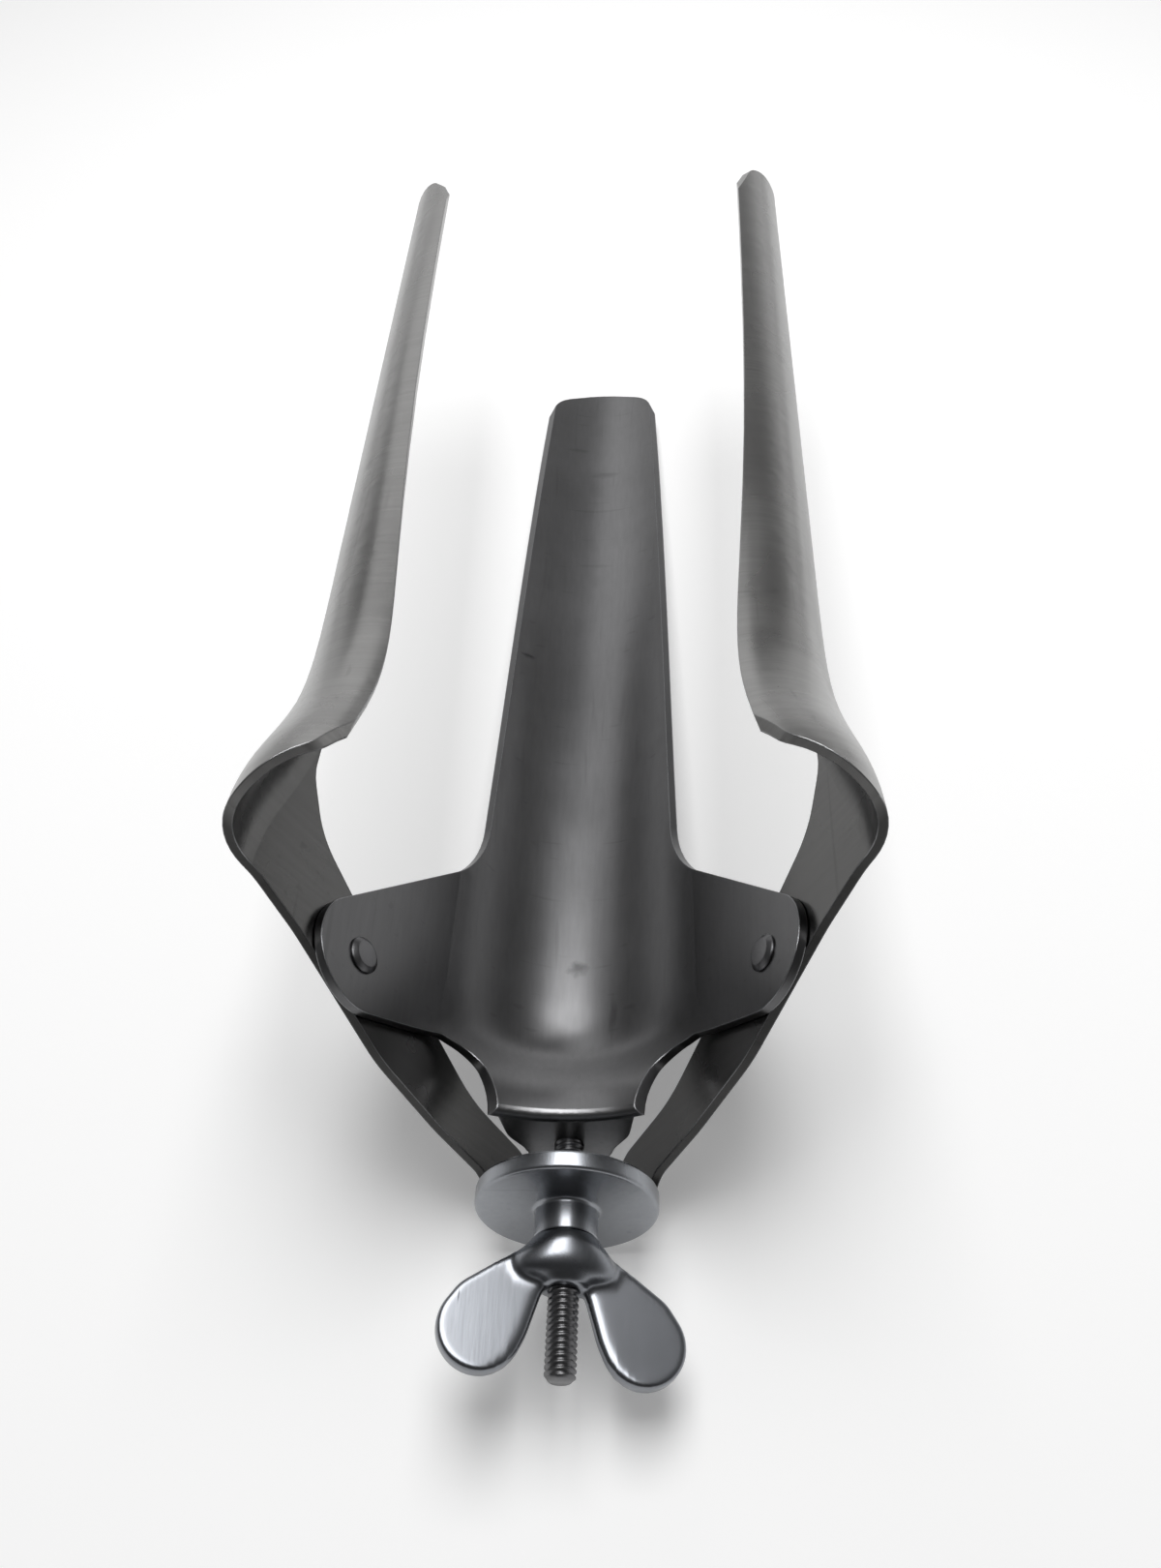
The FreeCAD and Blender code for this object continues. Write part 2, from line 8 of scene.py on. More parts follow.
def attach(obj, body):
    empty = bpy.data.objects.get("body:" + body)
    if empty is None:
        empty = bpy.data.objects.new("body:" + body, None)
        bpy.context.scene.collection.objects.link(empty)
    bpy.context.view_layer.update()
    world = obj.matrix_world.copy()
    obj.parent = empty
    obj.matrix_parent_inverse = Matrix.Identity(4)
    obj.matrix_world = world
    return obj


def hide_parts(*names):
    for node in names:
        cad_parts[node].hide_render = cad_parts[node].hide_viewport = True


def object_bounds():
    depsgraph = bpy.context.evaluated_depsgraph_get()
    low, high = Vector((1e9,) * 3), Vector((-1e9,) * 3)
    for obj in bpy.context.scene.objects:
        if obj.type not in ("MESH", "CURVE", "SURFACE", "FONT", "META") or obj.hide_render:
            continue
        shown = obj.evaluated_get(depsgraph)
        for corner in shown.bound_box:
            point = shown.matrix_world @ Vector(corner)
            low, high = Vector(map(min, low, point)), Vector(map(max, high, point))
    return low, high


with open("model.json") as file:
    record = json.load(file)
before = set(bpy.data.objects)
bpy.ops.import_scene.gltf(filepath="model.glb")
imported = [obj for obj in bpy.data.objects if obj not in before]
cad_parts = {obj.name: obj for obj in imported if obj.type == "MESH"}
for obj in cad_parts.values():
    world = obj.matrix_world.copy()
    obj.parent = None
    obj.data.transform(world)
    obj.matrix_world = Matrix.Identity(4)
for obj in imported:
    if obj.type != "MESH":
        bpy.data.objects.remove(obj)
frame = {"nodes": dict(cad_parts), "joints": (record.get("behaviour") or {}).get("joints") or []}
first_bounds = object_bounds()
scene = bpy.context.scene
MM = 0.001
BORDER_RADIUS = 0.00045
BORDER_COLOUR = (0.55, 0.56, 0.58, 1.0)
TROUGH_HALF = 0.04
DULL_AND_SHADE_BAND = 0.02


# ---------------------------------------------------------------- materials

def node_material(name):
    material = bpy.data.materials.new(name)
    material.use_nodes = True
    tree = material.node_tree
    tree.nodes.clear()
    output = tree.nodes.new("ShaderNodeOutputMaterial")
    shader = tree.nodes.new("ShaderNodeBsdfPrincipled")
    tree.links.new(shader.outputs["BSDF"], output.inputs["Surface"])
    return material, tree, shader


def add(tree, kind, **inputs):
    node = tree.nodes.new(kind)
    for key, value in inputs.items():
        node.inputs[key].default_value = value
    return node


def ramp(tree, source, stops):
    node = tree.nodes.new("ShaderNodeValToRGB")
    elements = node.color_ramp.elements
    while len(elements) < len(stops):
        elements.new(0.5)
    for element, (place, value) in zip(elements, stops):
        element.position = place
        element.color = (value, value, value, 1.0)
    tree.links.new(source, node.inputs["Fac"])
    return node.outputs["Color"]


def math_node(tree, kind, *values):
    node = tree.nodes.new("ShaderNodeMath")
    node.operation = kind
    for index, value in enumerate(values):
        if isinstance(value, float):
            node.inputs[index].default_value = value
        else:
            tree.links.new(value, node.inputs[index])
    return node.outputs["Value"]


def split_vector(tree, source):
    node = tree.nodes.new("ShaderNodeSeparateXYZ")
    tree.links.new(source, node.inputs["Vector"])
    return node


def noise(tree, place, along, scale, detail=3.0, roughness=0.6, turn=(0.0, 0.0, 0.0)):
    stretch = add(tree, "ShaderNodeMapping", Scale=along, Rotation=turn)
    tree.links.new(place.outputs["Object"], stretch.inputs["Vector"])
    node = add(tree, "ShaderNodeTexNoise", Scale=scale, Detail=detail, Roughness=roughness)
    tree.links.new(stretch.outputs["Vector"], node.inputs["Vector"])
    return node.outputs["Fac"]


def spot(tree, place, centre, reach, depth, edge=0.35):
    """A soft mark on the surface: 1 - depth at its centre and 1 beyond its reach, in metres."""
    shift = add(tree, "ShaderNodeMapping", Location=[-c / r for c, r in zip(centre, reach)],
                Scale=[1.0 / r for r in reach])
    tree.links.new(place.outputs["Object"], shift.inputs["Vector"])
    ragged = add(tree, "ShaderNodeTexNoise", Scale=1.6, Detail=3.0)
    tree.links.new(shift.outputs["Vector"], ragged.inputs["Vector"])
    length = tree.nodes.new("ShaderNodeVectorMath")
    length.operation = "LENGTH"
    tree.links.new(shift.outputs["Vector"], length.inputs[0])
    distance = math_node(tree, "ADD", length.outputs["Value"], ragged.outputs["Fac"])
    return ramp(tree, math_node(tree, "MULTIPLY", distance, 0.5), [(edge, 1.0 - depth), (edge + 0.28, 1.0)])


def steel(name, colour, rough, grain=0.05, along=(1.0, 0.05, 1.0), turn=(0.0, 0.0, 0.0), scale=900.0,
          blotch=0.12, bump=0.02, scratch=0.0, edge=0.6, marks=(), zone=None):
    """Steel with brushed lines, cloudy patches, fine scratches and edges painted brighter, as rubbed wear and
    as a painted highlight.
    """
    material, tree, shader = node_material(name)
    links = tree.links
    shader.inputs["Metallic"].default_value = 1.0
    place = tree.nodes.new("ShaderNodeTexCoord")
    lines = noise(tree, place, along, scale, turn=turn)
    broad = noise(tree, place, along, scale * 0.13, turn=turn)
    cloud = noise(tree, place, (1.0, 1.0, 1.0), 28.0, detail=4.0, roughness=0.55)
    stain = noise(tree, place, (1.0, 0.6, 1.0), 75.0, detail=5.0, roughness=0.7)
    value = math_node(tree, "MULTIPLY", ramp(tree, cloud, [(0.3, 1.0 - blotch), (0.7, 1.0)]),
                      ramp(tree, lines, [(0.3, 1.0 - grain * 2.0), (0.7, 1.0)]))
    value = math_node(tree, "MULTIPLY", value, ramp(tree, broad, [(0.3, 1.0 - grain), (0.7, 1.0)]))
    value = math_node(tree, "MULTIPLY", value, ramp(tree, stain, [(0.25, 1.0 - blotch * 0.5), (0.5, 1.0)]))
    if zone is not None:
        value = math_node(tree, "MULTIPLY", value, zone(tree, place))
    for centre, reach, depth in marks:
        value = math_node(tree, "MULTIPLY", value, spot(tree, place, centre, reach, depth))
    height = lines
    if scratch:
        thin = noise(tree, place, (1.0, 0.02, 1.0), 620.0, detail=0.0, turn=(0.3, 0.2, 0.9))
        cross = noise(tree, place, (0.02, 1.0, 1.0), 540.0, detail=0.0, turn=(0.1, 0.4, -0.5))
        cuts = math_node(tree, "MULTIPLY", ramp(tree, thin, [(0.16, 0.0), (0.24, 1.0)]),
                         ramp(tree, cross, [(0.16, 0.0), (0.24, 1.0)]))
        value = math_node(tree, "MULTIPLY", value, ramp(tree, cuts, [(0.0, 1.0 - scratch), (1.0, 1.0)]))
        height = math_node(tree, "ADD", lines, cuts)
    # Rounded borders catch the light; their colour is painted brighter too, partly rubbed wear and partly a
    # painted highlight
    rounded = add(tree, "ShaderNodeBevel", Radius=BORDER_RADIUS)
    rounded.samples = 6
    surface = tree.nodes.new("ShaderNodeNewGeometry")
    agree = tree.nodes.new("ShaderNodeVectorMath")
    agree.operation = "DOT_PRODUCT"
    links.new(rounded.outputs["Normal"], agree.inputs[0])
    links.new(surface.outputs["Normal"], agree.inputs[1])
    edge_wear_and_highlight = ramp(tree, agree.outputs["Value"], [(0.80, edge), (0.97, 0.0)])
    tint = tree.nodes.new("ShaderNodeMix")
    tint.data_type = "RGBA"
    tint.blend_type = "MULTIPLY"
    tint.inputs["Factor"].default_value = 1.0
    tint.inputs["A"].default_value = (*colour, 1.0)
    links.new(value, tint.inputs["B"])
    bright = tree.nodes.new("ShaderNodeMix")
    bright.data_type = "RGBA"
    bright.inputs["B"].default_value = BORDER_COLOUR
    links.new(tint.outputs["Result"], bright.inputs["A"])
    links.new(edge_wear_and_highlight, bright.inputs["Factor"])
    links.new(bright.outputs["Result"], shader.inputs["Base Color"])
    spread = add(tree, "ShaderNodeMapRange")
    spread.inputs["To Min"].default_value = rough - grain
    spread.inputs["To Max"].default_value = rough + grain
    links.new(cloud, spread.inputs["Value"])
    links.new(spread.outputs["Result"], shader.inputs["Roughness"])
    rise = add(tree, "ShaderNodeBump", Strength=bump, Distance=0.0002)
    links.new(height, rise.inputs["Height"])
    links.new(rounded.outputs["Normal"], rise.inputs["Normal"])
    links.new(rise.outputs["Normal"], shader.inputs["Normal"])
    return material


def paint(node, material):
    target = frame["nodes"][node]
    for slot in target.material_slots:
        slot.material = material
    if not target.material_slots:
        target.data.materials.append(material)


def trough_painted_reflection(tree, place):
    # Painted reflection: the bottom of the trough is painted brighter than its flanks and ears, where the
    # overhead lamp's reflection runs
    split = split_vector(tree, place.outputs["Object"])
    away = math_node(tree, "ABSOLUTE", split.outputs["X"])
    return ramp(tree, math_node(tree, "MULTIPLY", away, 1.0 / TROUGH_HALF), [(0.18, 1.0), (0.62, 0.55)])


def arm_dullness_and_painted_shade(tree, place):
    # The flat arms are painted darker than the half tubes above them: partly the duller surface of the sheet,
    # partly painted shade where the arms reflect dim surroundings.
    # Height is measured from the arms' plane, on both sides alike
    hinge = next(joint for joint in frame["joints"] if joint["name"] == "left_blade_pivot")
    axis, pin = Vector(hinge["axis"]), Vector(hinge["pos_m"])
    split = split_vector(tree, place.outputs["Object"])
    folded = tree.nodes.new("ShaderNodeCombineXYZ")
    tree.links.new(math_node(tree, "ABSOLUTE", split.outputs["X"]), folded.inputs["X"])
    tree.links.new(split.outputs["Y"], folded.inputs["Y"])
    tree.links.new(split.outputs["Z"], folded.inputs["Z"])
    above = tree.nodes.new("ShaderNodeVectorMath")
    above.operation = "DOT_PRODUCT"
    above.inputs[1].default_value = (-axis.x, axis.y, axis.z)
    tree.links.new(folded.outputs["Vector"], above.inputs[0])
    height = math_node(tree, "SUBTRACT", above.outputs["Value"], float(axis.dot(pin)))
    flat = ramp(tree, math_node(tree, "MULTIPLY", height, 1.0 / DULL_AND_SHADE_BAND), [(0.0, 0.34), (0.30, 1.0)])
    # The cut rim of the mouth, which faces the rear, is painted darker too: partly a duller cut surface, partly
    # painted shade on faces turned to the dim room
    facing = split_vector(tree, place.outputs["Normal"])
    rear = math_node(tree, "MULTIPLY", facing.outputs["Y"], -1.0)
    return math_node(tree, "MULTIPLY", flat, ramp(tree, rear, [(0.35, 1.0), (0.75, 0.45)]))


# The centre blade's trough carries a painted reflection: brighter along its bottom, darker on its flanks and
# ears
blade_steel = steel(
    "satin_dark_steel", (0.235, 0.235, 0.24), 0.31, grain=0.04, along=(1.0, 0.10, 1.0), bump=0.015,
    scratch=0.10, zone=trough_painted_reflection, marks=(
        ((0.0002, 0.0962, 0.0), (0.0042, 0.0034, 0.006), 0.45),
        ((0.0090, 0.0810, 0.0010), (0.0016, 0.0100, 0.006), 0.30),
        ((-0.0185, 0.2120, -0.003), (0.0030, 0.0016, 0.006), 0.55),
        ((0.0020, 0.3230, -0.0139), (0.0080, 0.0030, 0.006), 0.22),
        ((-0.0080, 0.3400, -0.0150), (0.0060, 0.0022, 0.006), 0.18),
    ))
# The arms carry painted shade: darker on their flat parts and rear-facing rims, partly also a duller sheet
arm_steel = steel("brushed_steel", (0.33, 0.327, 0.323), 0.27, grain=0.06, along=(0.05, 1.0, 0.05), bump=0.03,
                  scratch=0.12, zone=arm_dullness_and_painted_shade)
rivet_steel = steel("rivet_steel", (0.16, 0.16, 0.165), 0.34, grain=0.04, along=(1.0, 1.0, 1.0), scale=1500.0)
bright_steel = steel("polished_steel", (0.31, 0.322, 0.343), 0.26, grain=0.04, along=(1.0, 0.12, 1.0),
                     scale=1100.0, bump=0.02, scratch=0.12)
cast_steel = steel("cast_polished_steel", (0.27, 0.281, 0.303), 0.27, grain=0.05, along=(1.0, 0.06, 1.0),
                   turn=(0.0, 0.0, 0.7), scale=1300.0, bump=0.03, blotch=0.10, marks=(
                       ((-0.0199, 0.0137, 0.0066), (0.0003, 0.0024, 0.004), 0.55),))
thread_steel = steel("thread_steel", (0.22, 0.22, 0.225), 0.33, grain=0.05, along=(1.0, 1.0, 1.0), scale=1500.0,
                     blotch=0.3, edge=0.25)
for node in ("left_blade", "right_blade"):
    paint(node, arm_steel)
paint("center_blade", blade_steel)
for node in ("left_pivot_rivet", "right_pivot_rivet"):
    paint(node, rivet_steel)
for node in ("flange_sleeve", "wing_nut"):
    paint(node, bright_steel)
paint("adjusting_screw", thread_steel)


# ---------------------------------------------------------------- pieces

def finish_piece(name, work, material, body, node):
    bmesh.ops.remove_doubles(work, verts=work.verts, dist=1e-7)
    bmesh.ops.recalc_face_normals(work, faces=work.faces)
    mesh = bpy.data.meshes.new(name)
    work.to_mesh(mesh)
    work.free()
    return place_piece(name, mesh, material, body, node)


def place_piece(name, mesh, material, body, node):
    mesh.shade_smooth()
    mesh.materials.clear()
    mesh.materials.append(material)
    piece = bpy.data.objects.new(name, mesh)
    scene.collection.objects.link(piece)
    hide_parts(node)
    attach(piece, body)
    return piece


def rounded_profile(points, steps=5):
    """Turns (radius, along, fillet) corners, in mm, into a closed outline with tangent arcs."""
    outline = []
    count = len(points)
    for k, (r, y, fillet) in enumerate(points):
        here = Vector((r, y))
        if fillet <= 0:
            outline.append(here)
            continue
        before = (Vector(points[k - 1][:2]) - here).normalized()
        after = (Vector(points[(k + 1) % count][:2]) - here).normalized()
        half = before.angle(after) / 2.0
        centre = here + (before + after).normalized() * (fillet / math.sin(half))
        first = here + before * (fillet / math.tan(half)) - centre
        last = here + after * (fillet / math.tan(half)) - centre
        for step in range(steps + 1):
            part = step / steps
            across = (first * (1.0 - part) + last * part).normalized() * fillet
            outline.append(centre + across)
    return outline


def turned(work, outline, steps=128, matrix=Matrix.Identity(4)):
    """Turns a closed outline of (radius, along) in mm round the Y axis; points at radius 0 close the ends."""
    rings = []
    for point in outline:
        if point[0] < 1e-6:
            rings.append([work.verts.new(matrix @ Vector((0.0, point[1] * MM, 0.0)))] * steps)
            continue
        ring = []
        for k in range(steps):
            angle = 2.0 * math.pi * k / steps
            local = Vector((point[0] * math.cos(angle), point[1], point[0] * math.sin(angle))) * MM
            ring.append(work.verts.new(matrix @ local))
        rings.append(ring)
    for j in range(len(rings)):
        a, b = rings[j], rings[(j + 1) % len(rings)]
        if outline[j][0] < 1e-6 and outline[(j + 1) % len(rings)][0] < 1e-6:
            continue
        for k in range(steps):
            n = (k + 1) % steps
            corners = []
            for corner in (a[k], a[n], b[n], b[k]):
                if corner not in corners:
                    corners.append(corner)
            work.faces.new(corners)


# Flange sleeve: a disc and a hub from one bar, with a small fillet between them
SCREW_RADIUS = 3.175
BORE_RADIUS = 3.235
DISC_RADIUS, DISC_BACK, DISC_FRONT = 19.3, 34.4, 38.3
HUB_RADIUS, HUB_BACK = 6.6, 27.9
work = bmesh.new()
turned(work, rounded_profile([
    (BORE_RADIUS, HUB_BACK, 0.25), (HUB_RADIUS, HUB_BACK, 0.35), (HUB_RADIUS, DISC_BACK, 0.9),
    (DISC_RADIUS, DISC_BACK, 0.75), (DISC_RADIUS, DISC_FRONT, 0.6), (BORE_RADIUS, DISC_FRONT, 0.25),
]), steps=192)
finish_piece("turned_sleeve", work, bright_steel, "sleeve", "flange_sleeve")


# Adjusting screw: a rolled right-hand thread over its whole length and a flat round head
PITCH = 1.27
THREAD_DEPTH = 0.62
SCREW_LENGTH = 51.5
HEAD_RADIUS, HEAD_END = 5.2, 54.5
END_CHAMFER = 0.9


def thread_height(part):
    # Share of the thread's depth at each share of the pitch: rounded root, flank, flat crest, flank
    return {0: 0.0, 1: 0.12, 2: 0.80, 3: 1.0, 4: 1.0, 5: 0.80, 6: 0.12}[part]


def thread_piece():
    work = bmesh.new()
    around, parts = 72, 7
    turns = int(SCREW_LENGTH / PITCH) + 3
    columns = []
    for i in range(around + 1):
        column = []
        share = i / around
        for k in range(turns * parts):
            y = PITCH * (k / parts - share - 1.0)
            radius = SCREW_RADIUS - THREAD_DEPTH * (1.0 - thread_height(k % parts))
            y = min(max(y, 0.0), SCREW_LENGTH)
            radius = min(radius, SCREW_RADIUS - END_CHAMFER + y * 1.1)
            angle = 2.0 * math.pi * share
            spot_on = Vector((radius * math.cos(angle), y, radius * math.sin(angle))) * MM
            column.append(work.verts.new(spot_on))
        columns.append(column)
    for i in range(around):
        for k in range(turns * parts - 1):
            corners = (columns[i][k], columns[i][k + 1], columns[i + 1][k + 1], columns[i + 1][k])
            if len({tuple(round(c, 8) for c in v.co) for v in corners}) == 4:
                work.faces.new(corners)
            else:
                distinct = []
                for v in corners:
                    if all((v.co - w.co).length > 1e-8 for w in distinct):
                        distinct.append(v)
                if len(distinct) == 3:
                    work.faces.new(distinct)
    bmesh.ops.remove_doubles(work, verts=work.verts, dist=2e-6)
    loose = [v for v in work.verts if not v.link_faces]
    bmesh.ops.delete(work, geom=loose, context="VERTS")
    for edge_y in (0.0, SCREW_LENGTH):
        rim = [e for e in work.edges if len(e.link_faces) == 1
               and all(abs(v.co.y - edge_y * MM) < 1e-6 for v in e.verts)]
        if rim:
            bmesh.ops.contextual_create(work, geom=rim)
    turned(work, rounded_profile([
        (0.0, SCREW_LENGTH, 0), (HEAD_RADIUS, SCREW_LENGTH, 0.25),
        (HEAD_RADIUS, HEAD_END, 0.6), (0.0, HEAD_END, 0),
    ]), steps=72)
    return work


finish_piece("threaded_screw", thread_piece(), thread_steel, "frame", "adjusting_screw")


# Rivets: chamfered heads that stand on the ear and under the arm
RIVET_SHANK, RIVET_HEAD, RIVET_FACE = 2.6, 4.0, 2.9
RIVET_TOP, RIVET_UNDER, RIVET_END = 1.2, -4.6, -5.8
for joint in frame["joints"]:
    if "pivot" not in joint["name"]:
        continue
    side = joint["name"].split("_")[0]
    axis = Vector(joint["axis"])
    if axis.z < 0:
        axis = -axis
    turn = Vector((0.0, 1.0, 0.0)).rotation_difference(axis).to_matrix().to_4x4()
    matrix = Matrix.Translation(Vector(joint["pos_m"])) @ turn
    work = bmesh.new()
    turned(work, rounded_profile([
        (0.0, RIVET_END, 0), (RIVET_FACE, RIVET_END, 0.25), (RIVET_HEAD, RIVET_UNDER - 0.4, 0.2),
        (RIVET_HEAD, RIVET_UNDER, 0.08), (RIVET_SHANK, RIVET_UNDER, 0), (RIVET_SHANK, 0.0, 0),
        (RIVET_HEAD, 0.0, 0.08), (RIVET_HEAD, 0.45, 0.2), (RIVET_FACE, RIVET_TOP, 0.25),
        (0.0, RIVET_TOP, 0),
    ], steps=3), steps=64, matrix=matrix)
    finish_piece(side + "_rivet", work, rivet_steel, "frame", side + "_pivot_rivet")


# Wing nut: one casting, so boss, saddle and wings are joined by voxels and smoothed
NUT_BACK, NUT_FRONT = 17.4, 27.6
BOSS_RADIUS, BOSS_FRONT = 5.4, 23.6
WING_REACH, WING_HALF, WING_THICK, WING_BACK = 24.8, 8.6, 3.9, -0.2
WING_ROLL = math.radians(14.0)
# The wing's outline is drawn round two circles (out, along, radius)
WING_CIRCLES = ((WING_REACH - WING_HALF, WING_BACK + WING_HALF, WING_HALF), (14.9, 10.7, 8.4))
EDGE_ROUND = 0.9
VOXEL = 0.36
# (reach from the axis, rounds of smoothing): the wings keep crisp borders, the saddle between them is softer
SMOOTHING = ((30.0, 3), (14.0, 6), (12.5, 10), (10.5, 16))
SMOOTH_FRONT = NUT_FRONT - 0.6


def turn_of(a, b, c):
    return (b.x - a.x) * (c.y - a.y) - (b.y - a.y) * (c.x - a.x)


def wing_outline():
    # An egg shape: two circles and the wing's root, joined by straight tangents
    points = [Vector((6.3, NUT_FRONT - 0.5)), Vector((3.6, NUT_FRONT - 8.6))]
    for x, y, radius in WING_CIRCLES:
        for k in range(72):
            angle = 2.0 * math.pi * k / 72.0
            points.append(Vector((x + radius * math.cos(angle), y + radius * math.sin(angle))))
    points.sort(key=lambda point: (point.x, point.y))
    outline = []
    for run in (points, points[::-1]):
        side = []
        for point in run:
            while len(side) > 1 and turn_of(side[-2], side[-1], point) <= 1e-9:
                side.pop()
            side.append(point)
        outline += side[:-1]
    return outline


def wing_slab(work, flip):
    points = wing_outline()
    area = sum(a.x * b.y - b.x * a.y for a, b in zip(points, points[1:] + points[:1]))
    if area < 0:
        points.reverse()
    count = len(points)
    rings = []
    half = WING_THICK / 2.0
    levels = []
    for step in range(6):
        angle = math.pi / 2.0 * step / 5.0
        levels.append((EDGE_ROUND * (1.0 - math.sin(angle)), half - EDGE_ROUND + EDGE_ROUND * math.cos(angle)))
    levels = levels + [(inset, -z) for inset, z in reversed(levels)]
    for inset, z in levels:
        ring = []
        for k, point in enumerate(points):
            along = (points[(k + 1) % count] - points[k - 1]).normalized()
            inward = Vector((-along.y, along.x))
            moved = point + inward * inset
            local = Vector((moved.x, moved.y, z)) * MM
            if flip:
                local = Vector((-local.x, local.y, -local.z))
            ring.append(work.verts.new(local))
        rings.append(ring)
    for a, b in zip(rings, rings[1:]):
        for k in range(count):
            n = (k + 1) % count
            work.faces.new((a[k], a[n], b[n], b[k]))
    work.faces.new(rings[0])
    work.faces.new(rings[-1])


# Saddle of the nut: (along, half width, half height) from its front face to its rear
SADDLE = ((27.6, 6.9, 6.9), (26.8, 7.5, 7.4), (25.3, 8.8, 7.8), (23.4, 10.3, 7.8), (21.6, 11.2, 7.4),
          (20.2, 11.0, 6.8), (19.2, 9.8, 6.0), (18.6, 7.8, 5.2))


def saddle(work, steps=96):
    rings = []
    for y, wide, high in SADDLE:
        ring = []
        for k in range(steps):
            angle = 2.0 * math.pi * k / steps
            ring.append(work.verts.new(Vector((wide * math.cos(angle), y, high * math.sin(angle))) * MM))
        rings.append(ring)
    for a, b in zip(rings, rings[1:]):
        for k in range(steps):
            n = (k + 1) % steps
            work.faces.new((a[k], a[n], b[n], b[k]))
    work.faces.new(rings[0])
    work.faces.new(rings[-1])


def evaluated(piece):
    graph = bpy.context.evaluated_depsgraph_get()
    return bpy.data.meshes.new_from_object(piece.evaluated_get(graph))


def wing_nut_mesh():
    work = bmesh.new()
    turned(work, rounded_profile([
        (0.0, NUT_BACK, 0), (BOSS_RADIUS, NUT_BACK, 0.5),
        (BOSS_RADIUS, BOSS_FRONT, 0.5), (0.0, BOSS_FRONT, 0),
    ]), steps=96)
    saddle(work)
    wing_slab(work, False)
    wing_slab(work, True)
    bmesh.ops.recalc_face_normals(work, faces=work.faces)
    mesh = bpy.data.meshes.new("nut_rough")
    work.to_mesh(mesh)
    work.free()
    rough = bpy.data.objects.new("nut_rough", mesh)
    scene.collection.objects.link(rough)
    grid = rough.modifiers.new("grid", "REMESH")
    grid.mode = "VOXEL"
    grid.voxel_size = VOXEL * MM
    bpy.context.view_layer.update()
    joined = evaluated(rough)
    rough.modifiers.remove(grid)
    work = bmesh.new()
    work.from_mesh(joined)
    bpy.data.meshes.remove(joined)
    for reach, times in SMOOTHING:
        near = [v for v in work.verts if abs(v.co.x) < reach * MM and v.co.y < SMOOTH_FRONT * MM]
        for _ in range(times):
            bmesh.ops.smooth_vert(work, verts=near, factor=0.5,
                                  use_axis_x=True, use_axis_y=True, use_axis_z=True)
    work.to_mesh(mesh)
    work.free()
    cutter_work = bmesh.new()
    turned(cutter_work, [(0.0, NUT_BACK - 5.0), (BORE_RADIUS, NUT_BACK - 5.0), (BORE_RADIUS, NUT_FRONT + 5.0),
                         (0.0, NUT_FRONT + 5.0)], steps=64)
    bmesh.ops.remove_doubles(cutter_work, verts=cutter_work.verts, dist=1e-7)
    bmesh.ops.recalc_face_normals(cutter_work, faces=cutter_work.faces)
    cutter_mesh = bpy.data.meshes.new("nut_cutter")
    cutter_work.to_mesh(cutter_mesh)
    cutter_work.free()
    cutter = bpy.data.objects.new("nut_cutter", cutter_mesh)
    scene.collection.objects.link(cutter)
    bore = rough.modifiers.new("bore", "BOOLEAN")
    bore.operation = "DIFFERENCE"
    bore.object = cutter
    bpy.context.view_layer.update()
    result = evaluated(rough)
    bpy.data.objects.remove(rough)
    bpy.data.objects.remove(cutter)
    result.transform(Matrix.Rotation(WING_ROLL, 4, "Y"))
    result.name = "cast_wing_nut"
    return result


place_piece("cast_wing_nut", wing_nut_mesh(), cast_steel, "nut", "wing_nut")


# ---------------------------------------------------------------- camera, floor and light

camera_data = bpy.data.cameras.new("photo_camera")
camera_data.sensor_width = 36.0
camera_data.lens = 36.0 * 1400.0 / 1620.0
camera_data.clip_start = 0.01
camera_data.clip_end = 50.0
camera = bpy.data.objects.new("photo_camera", camera_data)
scene.collection.objects.link(camera)
right = Vector((0.998093, 0.031475, -0.053096))
up = Vector((0.013413, 0.729062, 0.684317))
back = Vector((0.060249, -0.683724, 0.727249))
place = Vector((0.021058, -0.0935, 0.265907))
camera.matrix_world = Matrix((
    (right.x, up.x, back.x, place.x),
    (right.y, up.y, back.y, place.y),
    (right.z, up.z, back.z, place.z),
    (0.0, 0.0, 0.0, 1.0),
))
scene.camera = camera
scene.view_settings.view_transform = "Standard"

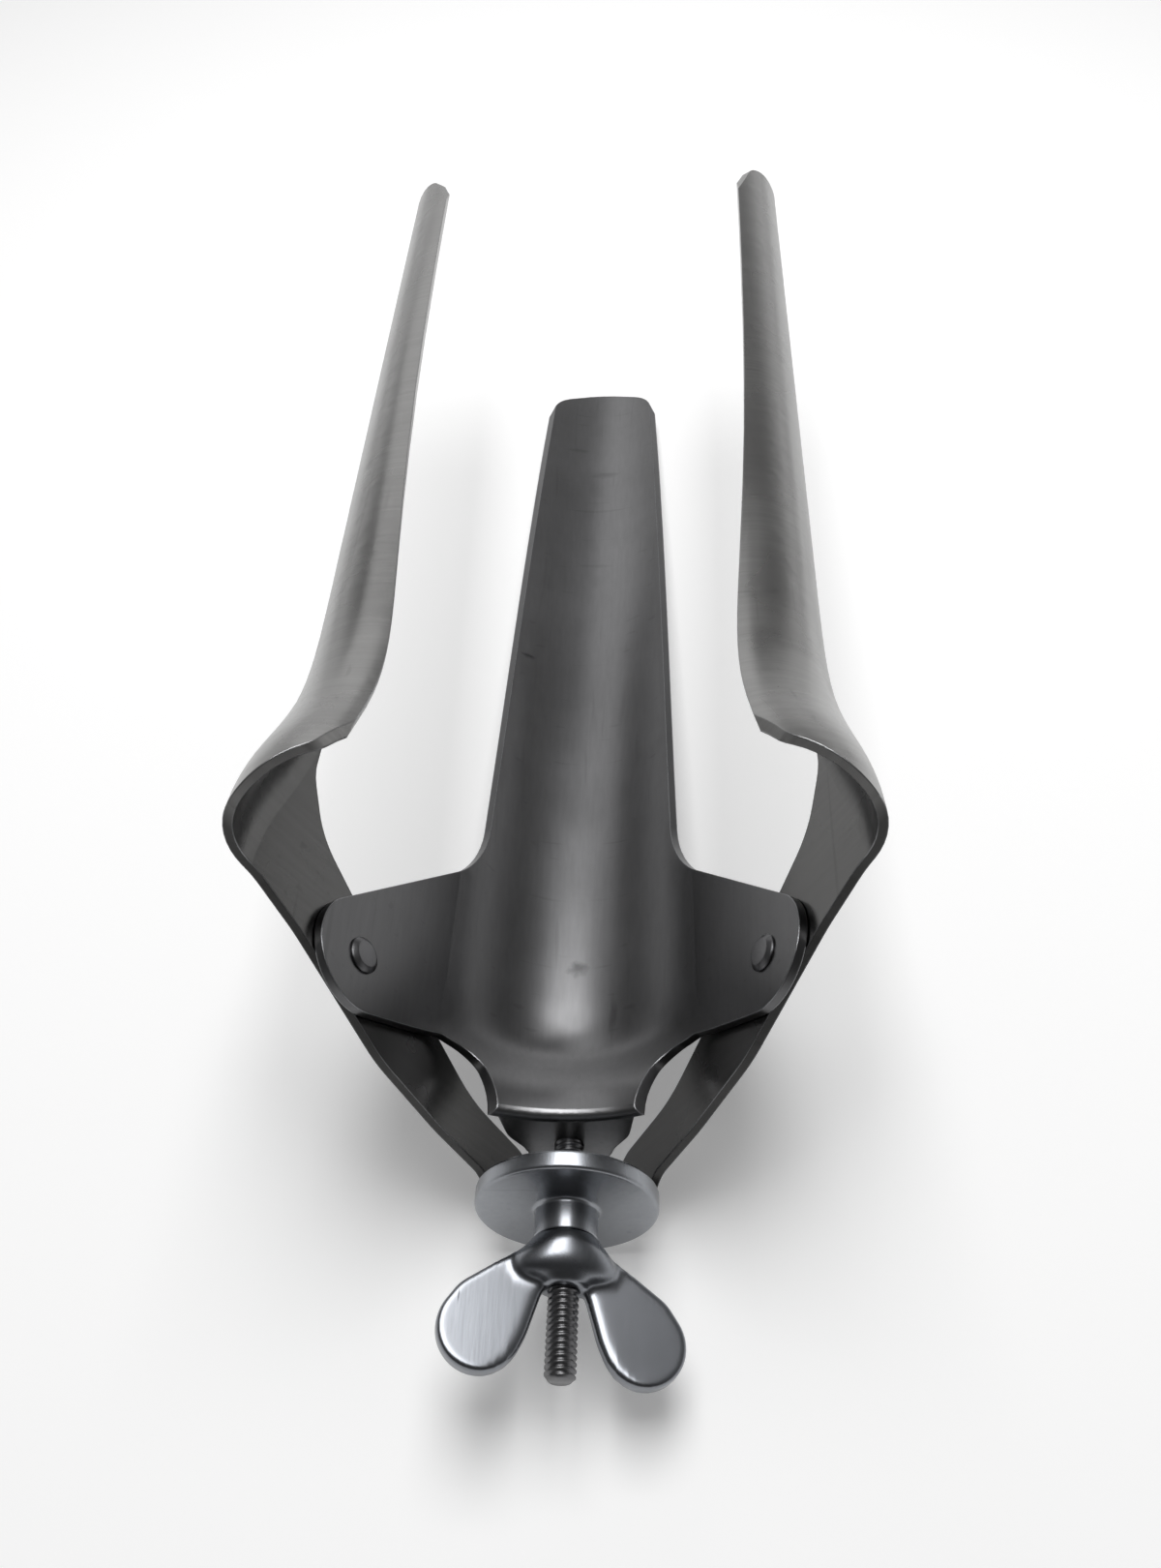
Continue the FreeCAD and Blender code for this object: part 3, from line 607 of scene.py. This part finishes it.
# The floor lies under the disc's rim and the centre blade's tip
floor_mesh = bpy.data.meshes.new("floor")
work = bmesh.new()
bmesh.ops.create_grid(work, x_segments=1, y_segments=1, size=6.0)
work.to_mesh(floor_mesh)
work.free()
floor = bpy.data.objects.new("floor", floor_mesh)
floor.location.z = first_bounds[0][2] - 0.0002
scene.collection.objects.link(floor)
FLOOR_GLOW = 0.21
pale, tree, shader = node_material("pale_floor")
shader.inputs["Base Color"].default_value = (0.9, 0.9, 0.9, 1.0)
shader.inputs["Roughness"].default_value = 0.9
shader.inputs["Specular IOR Level"].default_value = 0.1
# The floor looks whiter to the camera and in reflections, and casts no light for it
seen = tree.nodes.new("ShaderNodeLightPath")
direct = math_node(tree, "MAXIMUM", seen.outputs["Is Camera Ray"], seen.outputs["Is Glossy Ray"])
direct = math_node(tree, "MAXIMUM", direct, seen.outputs["Is Transmission Ray"])
shader.inputs["Emission Color"].default_value = (1.0, 1.0, 1.0, 1.0)
tree.links.new(math_node(tree, "MULTIPLY", direct, FLOOR_GLOW), shader.inputs["Emission Strength"])
floor_mesh.materials.append(pale)


def area(name, where, aim, size, power):
    data = bpy.data.lights.new(name, "AREA")
    data.shape = "RECTANGLE"
    data.size, data.size_y = size
    data.energy = power
    lamp = bpy.data.objects.new(name, data)
    lamp.location = where
    lamp.rotation_euler = (Vector(aim) - Vector(where)).to_track_quat("-Z", "Y").to_euler()
    lamp.visible_camera = False
    scene.collection.objects.link(lamp)
    return lamp


area("overhead", (0.03, 0.45, 1.1), (0.03, 0.45, 0.0), (0.62, 1.0), 11.0)
area("front_panel", (-0.34, 1.35, 0.65), (-0.02, 0.2, 0.03), (0.60, 0.6), 0.85)

world = bpy.data.worlds.new("studio")
scene.world = world
world.use_nodes = True
tree = world.node_tree
tree.nodes.clear()
output = tree.nodes.new("ShaderNodeOutputWorld")
heading = tree.nodes.new("ShaderNodeTexCoord")
split = split_vector(tree, heading.outputs["Generated"])
sky = ramp(tree, split.outputs["Z"], [(0.0, 0.90), (0.10, 0.80), (0.34, 0.24), (0.60, 0.16), (1.0, 0.25)])
# The room behind the camera is dim
ahead = math_node(tree, "MULTIPLY_ADD", split.outputs["Y"], 0.5, 0.5)
sky = math_node(tree, "MULTIPLY", sky, ramp(tree, ahead, [(0.22, 0.38), (0.60, 1.0)]))
soft = tree.nodes.new("ShaderNodeBackground")
tree.links.new(sky, soft.inputs["Color"])
tree.links.new(soft.outputs["Background"], output.inputs["Surface"])
